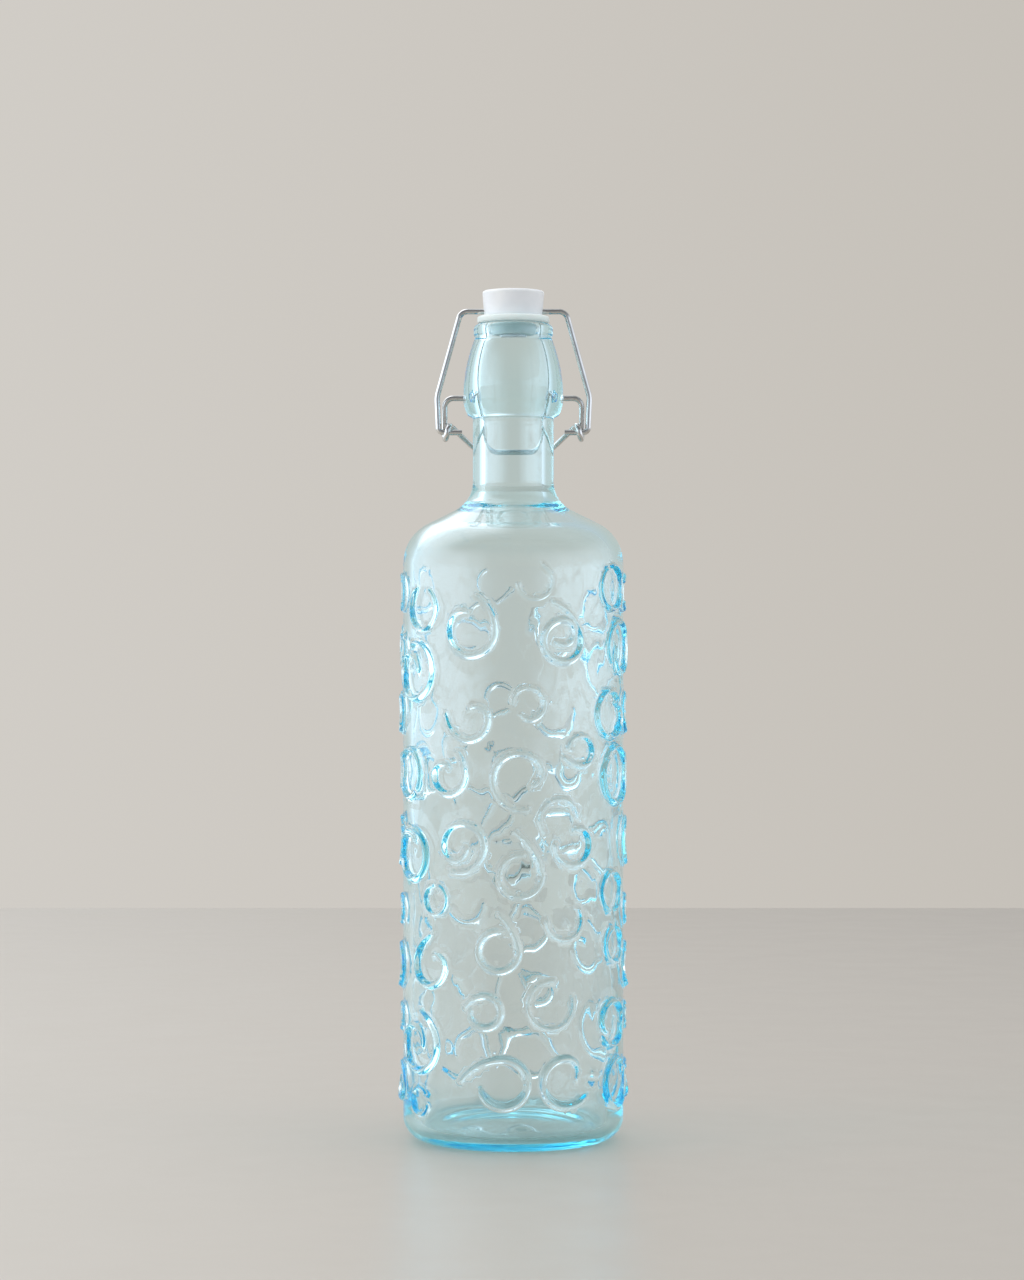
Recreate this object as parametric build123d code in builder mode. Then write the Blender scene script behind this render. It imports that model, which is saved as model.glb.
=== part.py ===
from build123d import *
import os
from math import cos, radians, sin, sqrt, tan

# A swing-top glass bottle: a moulded glass body, a plug with its rubber ring, and two bent wires.
# Sizes are in millimetres. The bottle stands on Z = 0 with its axis on Z. The hinges of the
# closure run along X, and the lever's bow hangs behind the neck, on the +Y side.

# Glass, outside, from the foot up
body_diameter = 85.0
body_height = 222.0  # straight wall, from the foot to the start of the shoulder
heel_radius = 9.0
foot_ring_width = 5.0  # flat ring that the bottle stands on
push_up_depth = 1.6  # hollow in the underside
shoulder_radius = 17.0
shoulder_pitch = 26.5  # degrees, slope of the shoulder from level
flare_radius = 12.5
neck_diameter = 31.2
neck_length = 24.3  # straight neck, from the flare to the bulb
bulb_diameter = 38.6
bulb_shelf = 1.9  # how far the bulb's underside steps out of the neck
bulb_shelf_rise = 1.0
bulb_belly_height = 7.8  # from the bulb's underside to its widest ring
bulb_height = 31.0  # from the bulb's underside to the groove under the lip
bulb_edge_radius = 0.8
groove_diameter = 29.6
lip_diameter = 30.6
lip_height = 5.4  # from the groove to the top of the glass
lip_slope = 1.2  # height of the slope out of the groove
lip_low_radius = 1.0
lip_top_radius = 2.2

# Glass, inside
wall = 3.6
base_thickness = 3.2
inner_heel_radius = 12.0
inner_shoulder_radius = 15.0
inner_flare_radius = 9.0
neck_bore_diameter = 22.4
bulb_bore_diameter = 27.0
bulb_bore_height = 12.8  # from the bulb's underside to the bore's widest ring
mouth_diameter = 20.6
mouth_radius = 1.2

# How far a cut or a blank runs past what it has to clear
cut_overrun = 1.0

# Relief: ridges that curl over the straight wall. Each scroll is a tail, a ring and a hook, three
# arcs that run into each other. A row gives, as shares, how far round from the front and how far
# up the wall the ring's middle lies, the ring's size, where on the ring the scroll starts, the
# tail's size, and the turns of the tail, the ring and the hook. Its hand, 1 or -1, comes last.
ridge_height = 2.0
ridge_width = 3.2
ring_radius = 10.0
hook_share = 0.6
tail_reach_share = 1.62  # from a ring's middle to the end of the longest tail
scroll_shares = [
    (0.031, 0.966, 0.67, 0.53, 1.0, 0.0, 0.64, 0.0, 1),
    (0.072, 0.865, 0.79, 0.05, 2.4, 0.14, 0.80, 0.60, -1),
    (0.021, 0.760, 0.60, 0.50, 1.0, 0.0, 0.72, 0.18, -1),
    (0.008, 0.633, 0.97, 0.50, 1.2, 0.27, 0.38, 0.30, -1),
    (0.067, 0.563, 0.78, 0.03, 1.0, 0.0, 0.57, 0.0, 1),
    (0.088, 0.520, 0.75, 0.50, 1.0, 0.0, 0.60, 0.20, 1),
    (0.010, 0.470, 0.78, 0.03, 3.0, 0.12, 0.80, 0.0, -1),
    (0.075, 0.394, 0.74, 0.51, 1.0, 0.0, 0.575, 0.0, 1),
    (-0.021, 0.343, 0.75, 0.03, 3.0, 0.10, 0.76, 0.08, -1),
    (-0.040, 0.241, 0.60, 0.29, 1.9, 0.105, 0.72, 0.14, -1),
    (0.054, 0.252, 0.90, 0.235, 1.0, 0.0, 0.80, 0.0, 1),
    (-0.014, 0.121, 0.90, 0.27, 2.6, 0.12, 0.70, 0.05, -1),
    (0.075, 0.120, 0.90, 0.74, 1.55, 0.12, 0.50, 0.31, -1),
    (-0.061, 0.883, 0.94, 0.99, 1.6, 0.17, 0.56, 0.235, -1),
    (-0.064, 0.732, 0.75, 0.71, 1.5, 0.19, 0.33, 0.30, 1),
    (-0.096, 0.638, 0.71, 0.985, 1.8, 0.125, 0.49, 0.36, -1),
    (-0.073, 0.519, 0.86, 0.97, 1.2, 0.27, 0.55, 0.45, 1),
    (-0.122, 0.426, 0.55, 0.20, 1.0, 0.0, 0.93, 0.0, -1),
    (-0.132, 0.315, 0.79, 0.46, 1.75, 0.14, 0.50, 0.32, 1),
    (-0.156, 0.178, 1.02, 0.07, 1.5, 0.125, 0.60, 0.50, -1),
    (-0.151, 0.921, 0.80, 0.33, 1.0, 0.0, 0.83, 0.0, 1),
    (-0.168, 0.814, 1.06, 0.30, 1.0, 0.0, 0.80, 0.50, -1),
    (-0.191, 0.638, 0.92, 0.90, 1.0, 0.0, 0.93, 0.0, 1),
    (-0.175, 0.500, 0.93, 0.20, 1.5, 0.15, 0.80, 0.30, -1),
    (-0.156, 0.080, 0.50, 0.10, 1.0, 0.0, 0.85, 0.0, 1),
    (0.175, 0.957, 0.82, 0.35, 1.0, 0.0, 0.92, 0.0, 1),
    (0.101, 0.679, 0.56, 0.73, 2.0, 0.10, 0.73, 0.0, 1),
    (0.197, 0.855, 0.98, 0.60, 1.0, 0.0, 0.80, 0.40, -1),
    (0.166, 0.740, 0.87, 0.10, 1.0, 0.0, 0.85, 0.30, 1),
    (0.186, 0.636, 1.07, 0.40, 1.0, 0.0, 0.90, 0.20, -1),
    (0.172, 0.437, 0.74, 0.80, 1.0, 0.0, 0.90, 0.0, 1),
    (0.179, 0.345, 0.66, 0.20, 1.0, 0.0, 0.90, 0.0, -1),
    (0.172, 0.211, 0.84, 0.60, 1.0, 0.0, 0.80, 0.30, 1),
    (0.188, 0.109, 0.95, 0.10, 1.0, 0.0, 0.80, 0.30, -1),
    (0.252, 0.950, 0.68, 0.60, 1.0, 0.0, 0.80, 0.0, 1),
    (0.265, 0.850, 0.58, 0.10, 1.0, 0.0, 0.85, 0.0, -1),
    (0.250, 0.743, 0.76, 0.30, 1.0, 0.0, 0.80, 0.25, 1),
    (0.265, 0.641, 0.66, 0.80, 1.0, 0.0, 0.85, 0.0, -1),
    (0.256, 0.520, 0.90, 0.20, 1.0, 0.0, 0.80, 0.30, 1),
    (0.256, 0.400, 0.56, 0.70, 1.0, 0.0, 0.80, 0.0, -1),
    (0.252, 0.305, 0.80, 0.50, 1.0, 0.0, 0.80, 0.20, -1),
    (0.258, 0.215, 0.50, 0.90, 1.0, 0.0, 0.85, 0.0, 1),
    (0.265, 0.105, 0.70, 0.40, 1.0, 0.0, 0.80, 0.20, -1),
]

# Dimples in the bulb that hold the lever's ends
dimple_depth = 4.2
dimple_mouth_diameter = 4.4
dimple_taper = 11.0  # degrees

# Wire, and how it runs in its holes
wire_diameter = 2.2
wire_gap = 0.1  # least gap between two wires that pass each other
hinge_gap = 0.15  # radial gap round the crossbar in the plug
dimple_end_gap = 0.5

# Lever: two pivots, two arms, two eyes and the bow that joins them
lever_reach = 26.5  # from the bottle's axis to the middle of an arm's wire
lever_drop = 13.3  # from the pivots to the middle of the eyes
lock_angle = 4.0  # degrees that the eyes stand past dead centre when shut
lever_corner_radius = 3.4
eye_loop_radius = 2.6  # to the middle of the wire
eye_corner_radius = 2.45
eye_exit = 1.2  # from the eye's middle back to where the wire turns to the bow
eye_exit_radius = 3.0
bow_width = 27.0
bow_drop = 20.0  # from the pivots to the bow's bar
bow_gap = 0.4  # between the bow's bar and the neck
bow_corner_radius = 10.0

# Bail: crossbar, two arms, and hooks through the lever's eyes
bail_shoulder_half = 20.3
bail_shoulder_radius = 3.4
bail_knee_half = 29.4
bail_knee_height = 13.8  # above the eyes
bail_knee_radius = 10.0
bail_hook_radius = 1.9
bail_hook_length = 9.0  # from the arm inwards through the eye

# Rubber ring
seal_gap = 0.15  # to the lip
seal_diameter = 27.8
seal_thickness = 2.8
seal_edge_radius = 0.7
nose_diameter = 19.8
nose_tip_diameter = 16.4
nose_length = 3.8

# Plug
plug_base_diameter = 22.4
plug_top_diameter = 24.0
plug_height = 9.8
plug_edge_radius = 0.9
plug_gap = 0.05  # between the plug and the rubber ring
crossbar_rise = 1.9  # from the plug's underside to the middle of the crossbar
stem_diameter = 8.4
stem_gap = 0.1
button_diameter = 10.4
button_height = 1.6
button_edge_radius = 0.5

# Places worked out from the sizes
body_radius = body_diameter / 2
neck_radius = neck_diameter / 2
bulb_radius = bulb_diameter / 2
neck_bore_radius = neck_bore_diameter / 2
bulb_bore_radius = bulb_bore_diameter / 2
mouth_bore_radius = mouth_diameter / 2
wire_radius = wire_diameter / 2
pitch = radians(shoulder_pitch)
turn = radians(90 - shoulder_pitch)
shoulder_z = body_height + shoulder_radius * tan(turn / 2)
neck_z = shoulder_z + (body_radius - neck_radius) * tan(pitch)
bulb_z = neck_z + flare_radius * tan(turn / 2) + neck_length
pivot_z = bulb_z + bulb_belly_height
groove_z = bulb_z + bulb_height
lip_z = groove_z + lip_height
base_z = push_up_depth + base_thickness
inner_radius = body_radius - wall
ridge_half = ridge_width / 2
scroll_reach = ring_radius * tail_reach_share + ridge_half
ridge_root = body_radius - sqrt(body_radius**2 - scroll_reach**2)
inner_shoulder_z = shoulder_z + wall * tan(pitch) - wall / cos(pitch)
inner_neck_z = inner_shoulder_z + (inner_radius - neck_bore_radius) * tan(pitch)
bulb_bore_z = bulb_z + bulb_bore_height
seal_z = lip_z + seal_gap
plug_z = seal_z + seal_thickness + plug_gap
crossbar_z = plug_z + crossbar_rise
eye_y = -lever_drop * sin(radians(lock_angle))
eye_z = pivot_z - lever_drop * cos(radians(lock_angle))
bow_y = neck_radius + bow_gap + wire_radius


def both_sides(half):
    """The points of one half of a wire and their mirror images, in order from end to end."""
    return [(-x, y, z) for x, y, z in half] + [(x, y, z) for x, y, z in reversed(half)]


def scroll_plane(around_share, height_share):
    """The plane of one scroll, under the wall so that the whole scroll starts inside the glass."""
    around = radians(around_share * 360)
    facing = Vector(sin(around), -cos(around), 0)
    across = Vector(cos(around), sin(around), 0)
    middle = facing * (body_radius - ridge_root) + Vector(0, 0, height_share * body_height)
    return Plane(origin=middle, x_dir=across, z_dir=facing)


def scroll_arcs(size, start, tail_size, tail, ring, hook, hand):
    """The arcs of one scroll: middle, radius, first angle and sweep of each."""
    radius = ring_radius * size
    wide = radius * tail_size
    tight = radius * hook_share
    first = start * 360
    last = first + hand * ring * 360
    tail_middle = Vector(radius - wide, 0).rotate(Axis.Z, first)
    hook_middle = Vector(radius - tight, 0).rotate(Axis.Z, last)
    arcs = [
        (tail_middle, wide, first - hand * tail * 360, hand * tail * 360),
        (Vector(0, 0), radius, first, hand * ring * 360),
        (hook_middle, tight, last, hand * hook * 360),
    ]
    return [arc for arc in arcs if arc[-1]]


# Relief of one half of the mould, cut to an even height over the wall
with BuildPart() as relief:
    for around, up, *curl in scroll_shares:
        with BuildSketch(scroll_plane(around, up)):
            for middle, radius, first, sweep_angle in scroll_arcs(*curl):
                with BuildLine():
                    inner = CenterArc(middle, radius - ridge_half, first, sweep_angle)
                    outer = CenterArc(middle, radius + ridge_half, first, sweep_angle)
                    Line(inner @ 0, outer @ 0)
                    Line(inner @ 1, outer @ 1)
                make_face()
                with Locations((inner @ 0 + outer @ 0) / 2, (inner @ 1 + outer @ 1) / 2):
                    Circle(ridge_half)
    extrude(amount=ridge_root + ridge_height + cut_overrun)
    with BuildSketch():
        Circle(body_radius + ridge_height)
    extrude(amount=lip_z, mode=Mode.INTERSECT)

# Glass body. The back half of the mould repeats the front half, turned round.
with BuildPart() as glass_bottle:
    with BuildSketch(Plane.XZ) as outside:
        with BuildLine():
            underside = ThreePointArc(
                (-body_radius + heel_radius + foot_ring_width, 0),
                (0, push_up_depth),
                (body_radius - heel_radius - foot_ring_width, 0),
                mode=Mode.PRIVATE,
            )
            dome = Line((0, 0), (0, push_up_depth), mode=Mode.PRIVATE)
            ThreePointArc(dome @ 1, underside @ 0.75, underside @ 1)
            body = FilletPolyline(
                underside @ 1,
                (body_radius, 0),
                (body_radius, shoulder_z),
                (neck_radius, neck_z),
                (neck_radius, bulb_z),
                (neck_radius + bulb_shelf, bulb_z + bulb_shelf_rise),
                radius=[heel_radius, shoulder_radius, flare_radius, bulb_edge_radius],
            )
            TangentArc((bulb_radius, pivot_z), body @ 1, tangent=(0, -1))
            TangentArc((bulb_radius, pivot_z), (groove_diameter / 2, groove_z), tangent=(0, 1))
            lip = FilletPolyline(
                (groove_diameter / 2, groove_z),
                (lip_diameter / 2, groove_z + lip_slope),
                (lip_diameter / 2, lip_z),
                (mouth_bore_radius, lip_z),
                (mouth_bore_radius, groove_z),
                radius=[lip_low_radius, lip_top_radius, mouth_radius],
            )
            Polyline(lip @ 1, (0, groove_z), dome @ 1)
        make_face()
    revolve(axis=Axis.Z)
    add(relief.part)
    add(relief.part.rotate(Axis.Z, 180))
    with BuildSketch(Plane.XZ) as inside:
        with BuildLine():
            cavity = FilletPolyline(
                (0, base_z),
                (inner_radius, base_z),
                (inner_radius, inner_shoulder_z),
                (neck_bore_radius, inner_neck_z),
                (neck_bore_radius, bulb_z),
                radius=[inner_heel_radius, inner_shoulder_radius, inner_flare_radius],
            )
            widest = (bulb_bore_radius, bulb_bore_z)
            TangentArc(widest, cavity @ 1, tangent=(0, -1))
            TangentArc(widest, (mouth_bore_radius, groove_z), tangent=(0, 1))
            Polyline((mouth_bore_radius, groove_z), (0, groove_z), cavity @ 0)
        make_face()
    revolve(axis=Axis.Z, mode=Mode.SUBTRACT)
    for side in (1, -1):
        dimple_plane = Plane(
            origin=(side * bulb_radius, 0, pivot_z), x_dir=(0, 1, 0), z_dir=(-side, 0, 0)
        )
        with BuildSketch(dimple_plane) as dimple:
            Circle(dimple_mouth_diameter / 2)
        extrude(amount=dimple_depth, taper=dimple_taper, mode=Mode.SUBTRACT)
glass_bottle.part.label = "glass_bottle"

# Lever: one wire from dimple to dimple, with a loop for each eye
lever_half = [
    (bulb_radius - dimple_depth + dimple_end_gap, 0, pivot_z),
    (lever_reach, 0, pivot_z),
    (lever_reach, eye_y + eye_loop_radius, eye_z - eye_loop_radius),
    (lever_reach - wire_radius / 2, eye_y - eye_loop_radius, eye_z - eye_loop_radius),
    (
        lever_reach - wire_radius * 3 / 2,
        eye_y - eye_loop_radius,
        eye_z + eye_loop_radius,
    ),
    (
        lever_reach - wire_diameter - wire_gap,
        eye_y + eye_exit,
        eye_z + eye_loop_radius,
    ),
    (bow_width / 2, bow_y, pivot_z - bow_drop),
]
lever_radii = [
    lever_corner_radius,
    eye_corner_radius,
    eye_corner_radius,
    eye_corner_radius,
    eye_exit_radius,
    bow_corner_radius,
]
with BuildPart() as lever_wire:
    with BuildLine() as lever_path:
        FilletPolyline(*both_sides(lever_half), radius=lever_radii + lever_radii[::-1])
    with BuildSketch(Plane(origin=lever_path.line @ 0, z_dir=lever_path.line % 0)):
        Circle(wire_radius)
    sweep()
lever_wire.part.label = "lever_wire"

# Bail: its plane runs from the eyes up to the crossbar
bail_rise = Vector(0, -eye_y, crossbar_z - eye_z).length
bail_plane = Plane(
    origin=(0, eye_y, eye_z),
    x_dir=(1, 0, 0),
    z_dir=(0, eye_z - crossbar_z, -eye_y),
)
bail_hook_half = lever_reach + wire_diameter + wire_gap
bail_half = [
    (bail_hook_half - bail_hook_length, 0, 0),
    (bail_hook_half, 0, 0),
    (bail_knee_half, bail_knee_height, 0),
    (bail_shoulder_half, bail_rise, 0),
]
bail_radii = [bail_hook_radius, bail_knee_radius, bail_shoulder_radius]
with BuildPart() as bail_wire:
    with BuildLine(bail_plane) as bail_path:
        FilletPolyline(*both_sides(bail_half), radius=bail_radii + bail_radii[::-1])
    with BuildSketch(Plane(origin=bail_path.line @ 0, z_dir=bail_path.line % 0)):
        Circle(wire_radius)
    sweep()
bail_wire.part.label = "bail_wire"

# Rubber ring: a flange on the lip and a tapered nose in the mouth
with BuildPart() as seal_ring:
    with BuildSketch(Plane.XZ) as seal_section:
        with BuildLine():
            FilletPolyline(
                (stem_diameter / 2 + stem_gap, seal_z - nose_length),
                (nose_tip_diameter / 2, seal_z - nose_length),
                (nose_diameter / 2, seal_z),
                (seal_diameter / 2, seal_z),
                (seal_diameter / 2, seal_z + seal_thickness),
                (stem_diameter / 2 + stem_gap, seal_z + seal_thickness),
                radius=[seal_edge_radius, 0, seal_edge_radius, seal_edge_radius],
            )
            Line(
                (stem_diameter / 2 + stem_gap, seal_z + seal_thickness),
                (stem_diameter / 2 + stem_gap, seal_z - nose_length),
            )
        make_face()
    revolve(axis=Axis.Z)
seal_ring.part.label = "seal_ring"

# Plug: the head, the stem through the ring and the button that holds the ring on
button_z = seal_z - nose_length - plug_gap
with BuildPart() as stopper:
    with BuildSketch(Plane.XZ) as plug_section:
        with BuildLine():
            plug_outline = FilletPolyline(
                (0, button_z - button_height),
                (button_diameter / 2, button_z - button_height),
                (button_diameter / 2, button_z),
                (stem_diameter / 2, button_z),
                (stem_diameter / 2, plug_z),
                (plug_base_diameter / 2, plug_z),
                (plug_top_diameter / 2, plug_z + plug_height),
                (0, plug_z + plug_height),
                radius=[button_edge_radius, 0, 0, 0, button_edge_radius, plug_edge_radius],
            )
            Line(plug_outline @ 1, plug_outline @ 0)
        make_face()
    revolve(axis=Axis.Z)
    with BuildSketch(Plane.YZ) as crossbar_hole:
        with Locations((0, crossbar_z)):
            Circle(wire_radius + hinge_gap)
    hole_half = (plug_base_diameter + plug_top_diameter) / 2
    extrude(amount=hole_half, both=True, mode=Mode.SUBTRACT)
stopper.part.label = "stopper"

os.makedirs("parts", exist_ok=True)
export_step(glass_bottle.part, "parts/glass_bottle.step")
export_step(lever_wire.part, "parts/lever_wire.step")
export_step(bail_wire.part, "parts/bail_wire.step")
export_step(seal_ring.part, "parts/seal_ring.step")
export_step(stopper.part, "parts/stopper.step")
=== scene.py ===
from math import atan2, cos, hypot, pi, radians, sin, tan

import bpy
import numpy as np
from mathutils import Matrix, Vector
from mathutils.geometry import delaunay_2d_cdt


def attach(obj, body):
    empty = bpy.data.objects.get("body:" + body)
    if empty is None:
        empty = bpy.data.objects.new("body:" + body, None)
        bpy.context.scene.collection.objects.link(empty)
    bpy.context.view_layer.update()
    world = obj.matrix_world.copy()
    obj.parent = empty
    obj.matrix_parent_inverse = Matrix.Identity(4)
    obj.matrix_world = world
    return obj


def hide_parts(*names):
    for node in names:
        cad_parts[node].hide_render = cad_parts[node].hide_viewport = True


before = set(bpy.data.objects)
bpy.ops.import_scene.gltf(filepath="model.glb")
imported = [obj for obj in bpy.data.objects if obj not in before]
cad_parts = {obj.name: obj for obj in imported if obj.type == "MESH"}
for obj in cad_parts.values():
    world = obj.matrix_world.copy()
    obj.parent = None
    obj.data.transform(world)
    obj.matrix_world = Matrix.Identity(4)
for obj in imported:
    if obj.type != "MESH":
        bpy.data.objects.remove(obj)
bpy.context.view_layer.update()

# Looks of a swing-top glass bottle. Lengths are millimetres until a mesh is written, in metres.
MM = 0.001

# Glass, outside, from the foot up
BODY_RADIUS = 42.5
BODY_HEIGHT = 222.0
HEEL_RADIUS = 9.0
FOOT_RING_WIDTH = 5.0
PUSH_UP_DEPTH = 1.6
SHOULDER_RADIUS = 17.0
SHOULDER_PITCH = radians(26.5)
FLARE_RADIUS = 12.5
NECK_RADIUS = 15.6
NECK_LENGTH = 24.3
BULB_RADIUS = 19.3
BULB_SHELF = 1.9
BULB_SHELF_RISE = 1.0
BULB_BELLY_HEIGHT = 7.8
BULB_HEIGHT = 31.0
BULB_EDGE_RADIUS = 0.8
GROOVE_RADIUS = 14.8
LIP_RADIUS = 15.3
LIP_HEIGHT = 5.4
LIP_SLOPE = 1.2
LIP_LOW_RADIUS = 1.0
LIP_TOP_RADIUS = 2.2

# Glass, inside
WALL = 3.6
BASE_THICKNESS = 3.2
INNER_HEEL_RADIUS = 4.5
INNER_FOOT_RADIUS = 36.5
INNER_TAPER_HEIGHT = 22.0
INNER_TAPER_RADIUS = 50.0
INNER_SHOULDER_RADIUS = 15.0
INNER_FLARE_RADIUS = 9.0
NECK_BORE_RADIUS = 11.2
BULB_BORE_RADIUS = 13.5
BULB_BORE_HEIGHT = 12.8
MOUTH_BORE_RADIUS = 10.3
MOUTH_RADIUS = 1.2

# Dimples in the bulb that hold the lever's ends
DIMPLE_DEPTH = 4.2
DIMPLE_RADIUS = 2.2
DIMPLE_TAPER = radians(11)

# Places worked out from the sizes
TURN = pi / 2 - SHOULDER_PITCH
SHOULDER_Z = BODY_HEIGHT + SHOULDER_RADIUS * tan(TURN / 2)
NECK_Z = SHOULDER_Z + (BODY_RADIUS - NECK_RADIUS) * tan(SHOULDER_PITCH)
BULB_Z = NECK_Z + FLARE_RADIUS * tan(TURN / 2) + NECK_LENGTH
PIVOT_Z = BULB_Z + BULB_BELLY_HEIGHT
GROOVE_Z = BULB_Z + BULB_HEIGHT
LIP_Z = GROOVE_Z + LIP_HEIGHT
BASE_Z = PUSH_UP_DEPTH + BASE_THICKNESS
INNER_RADIUS = BODY_RADIUS - WALL
INNER_SHOULDER_Z = SHOULDER_Z + WALL * tan(SHOULDER_PITCH) - WALL / cos(SHOULDER_PITCH)
INNER_NECK_Z = INNER_SHOULDER_Z + (INNER_RADIUS - NECK_BORE_RADIUS) * tan(SHOULDER_PITCH)
BULB_BORE_Z = BULB_Z + BULB_BORE_HEIGHT

# Relief: rounded ridges that curl over the straight wall. Each scroll is a tail, a ring and a
# hook, three arcs that run into each other. A row gives shares: how far round from the front
# and how far up the ring's middle is, the ring's size, where on the ring it starts, the tail's
# size and its share of a turn, then the ring's and the hook's share of a turn, and its hand.
RIDGE_HEIGHT = 1.95
RIDGE_HALF = 1.65
TIP_SHARE = 0.6
RING_RADIUS = 10.0
HOOK_SHARE = 0.6
SCROLL_SHARES = [
    (0.031, 0.966, 0.67, 0.53, 1.0, 0.0, 0.64, 0.0, 1),
    (0.072, 0.865, 0.79, 0.05, 2.4, 0.14, 0.80, 0.60, -1),
    (0.021, 0.760, 0.60, 0.50, 1.0, 0.0, 0.72, 0.18, -1),
    (0.008, 0.633, 0.97, 0.50, 1.2, 0.27, 0.38, 0.30, -1),
    (0.067, 0.563, 0.78, 0.03, 1.0, 0.0, 0.57, 0.0, 1),
    (0.088, 0.520, 0.75, 0.50, 1.0, 0.0, 0.60, 0.20, 1),
    (0.010, 0.470, 0.78, 0.03, 3.0, 0.12, 0.80, 0.0, -1),
    (0.075, 0.394, 0.74, 0.51, 1.0, 0.0, 0.575, 0.0, 1),
    (-0.021, 0.343, 0.75, 0.03, 3.0, 0.10, 0.76, 0.08, -1),
    (-0.040, 0.241, 0.60, 0.29, 1.9, 0.105, 0.72, 0.14, -1),
    (0.054, 0.252, 0.90, 0.235, 1.0, 0.0, 0.80, 0.0, 1),
    (-0.014, 0.121, 0.90, 0.27, 2.6, 0.12, 0.70, 0.05, -1),
    (0.075, 0.120, 0.90, 0.74, 1.55, 0.12, 0.50, 0.31, -1),
    (-0.061, 0.883, 0.94, 0.99, 1.6, 0.17, 0.56, 0.235, -1),
    (-0.064, 0.732, 0.75, 0.71, 1.5, 0.19, 0.33, 0.30, 1),
    (-0.096, 0.638, 0.71, 0.985, 1.8, 0.125, 0.49, 0.36, -1),
    (-0.073, 0.519, 0.86, 0.97, 1.2, 0.27, 0.55, 0.45, 1),
    (-0.122, 0.426, 0.55, 0.20, 1.0, 0.0, 0.93, 0.0, -1),
    (-0.132, 0.315, 0.79, 0.46, 1.75, 0.14, 0.50, 0.32, 1),
    (-0.156, 0.178, 1.02, 0.07, 1.5, 0.125, 0.60, 0.50, -1),
    (-0.151, 0.921, 0.80, 0.33, 1.0, 0.0, 0.83, 0.0, 1),
    (-0.168, 0.814, 1.06, 0.30, 1.0, 0.0, 0.80, 0.50, -1),
    (-0.191, 0.638, 0.92, 0.90, 1.0, 0.0, 0.93, 0.0, 1),
    (-0.175, 0.500, 0.93, 0.20, 1.5, 0.15, 0.80, 0.30, -1),
    (-0.156, 0.080, 0.50, 0.10, 1.0, 0.0, 0.85, 0.0, 1),
    (0.175, 0.957, 0.82, 0.35, 1.0, 0.0, 0.92, 0.0, 1),
    (0.101, 0.679, 0.56, 0.73, 2.0, 0.10, 0.73, 0.0, 1),
    (0.197, 0.855, 0.98, 0.60, 1.0, 0.0, 0.80, 0.40, -1),
    (0.166, 0.740, 0.87, 0.10, 1.0, 0.0, 0.85, 0.30, 1),
    (0.186, 0.636, 1.07, 0.40, 1.0, 0.0, 0.90, 0.20, -1),
    (0.172, 0.437, 0.74, 0.80, 1.0, 0.0, 0.90, 0.0, 1),
    (0.179, 0.345, 0.66, 0.20, 1.0, 0.0, 0.90, 0.0, -1),
    (0.172, 0.211, 0.84, 0.60, 1.0, 0.0, 0.80, 0.30, 1),
    (0.188, 0.109, 0.95, 0.10, 1.0, 0.0, 0.80, 0.30, -1),
    (0.252, 0.950, 0.68, 0.60, 1.0, 0.0, 0.80, 0.0, 1),
    (0.265, 0.850, 0.58, 0.10, 1.0, 0.0, 0.85, 0.0, -1),
    (0.250, 0.743, 0.76, 0.30, 1.0, 0.0, 0.80, 0.25, 1),
    (0.265, 0.641, 0.66, 0.80, 1.0, 0.0, 0.85, 0.0, -1),
    (0.256, 0.520, 0.90, 0.20, 1.0, 0.0, 0.80, 0.30, 1),
    (0.256, 0.400, 0.56, 0.70, 1.0, 0.0, 0.80, 0.0, -1),
    (0.252, 0.305, 0.80, 0.50, 1.0, 0.0, 0.80, 0.20, -1),
    (0.258, 0.215, 0.50, 0.90, 1.0, 0.0, 0.85, 0.0, 1),
    (0.265, 0.105, 0.70, 0.40, 1.0, 0.0, 0.80, 0.20, -1),
]

# How a ridge's section falls from its top to its foot, and how sharply two ridges melt together
CROWN_POWER, FOOT_POWER = 2.2, 1.5
MELT_POWER = 4

# The inner wall swells faintly behind the relief
INNER_WAVE_HEIGHT = 0.35
INNER_WAVE_HALF = 5.0

# How finely the glass is divided: columns round the axis, turns between the points of a rounded
# corner, steps along a path, and counts of rings
COLUMNS = 160
ANGLES = np.arange(COLUMNS) * 2 * pi / COLUMNS - pi
ROUGH_TURN, FINE_TURN = radians(8), radians(5)
HEEL_STEP, WALL_STEP, SEAM_STEP = 2.0, 2.5, 1.0
UNDERSIDE_RINGS = 14
UNDER_BULB_RINGS, OVER_BULB_RINGS = 7, 18
BORE_TOP_RINGS, BORE_FOOT_RINGS = 14, 10

# Rings stay this far from a fine patch, and a net's rows are this share of its step apart
GAP_UNDER_PATCH, GAP_OVER_PATCH = 0.2, 0.3
NET_ROW_SHARE = 0.87

# A ring that is smaller is one point, and points that are closer are one. A share of a step
# that is only a rounding error makes no step.
POLE_RADIUS = 1e-6
WELD = 1e-7
ROUNDING = 1e-9

# Fine patch on the wall, for the relief: lanes of points along the ridges, rings of points at
# their tips and a net between them. Lanes and rings are shares of a ridge's half width.
RELIEF_LOW, RELIEF_HIGH = 10.0, 226.0
LANE_SHARES = (0, 0.3, -0.3, 0.55, -0.55, 0.78, -0.78, 1.0, -1.0, 1.3, -1.3)
LANE_STEP = 0.9
TIP_RING_SHARES = (0.4, 0.75, 1.05)
TIP_POINTS = 8
RELIEF_NET_STEP = 2.4
RELIEF_NET_SHARE = 1.5
RELIEF_POINT_GAP = 0.36

# Fine patch round the bulb, for the dimples: rings of points in them and round them, and a net
BULB_PATCH = 4.5
DIMPLE_DOT = 0.02
DIMPLE_COLLARS = (0.25, 0.8)
DIMPLE_POINTS = 24
DIMPLE_NET_GAP = 1.3
BULB_NET_STEP = 1.1
BULB_POINT_GAP = 0.01


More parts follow.
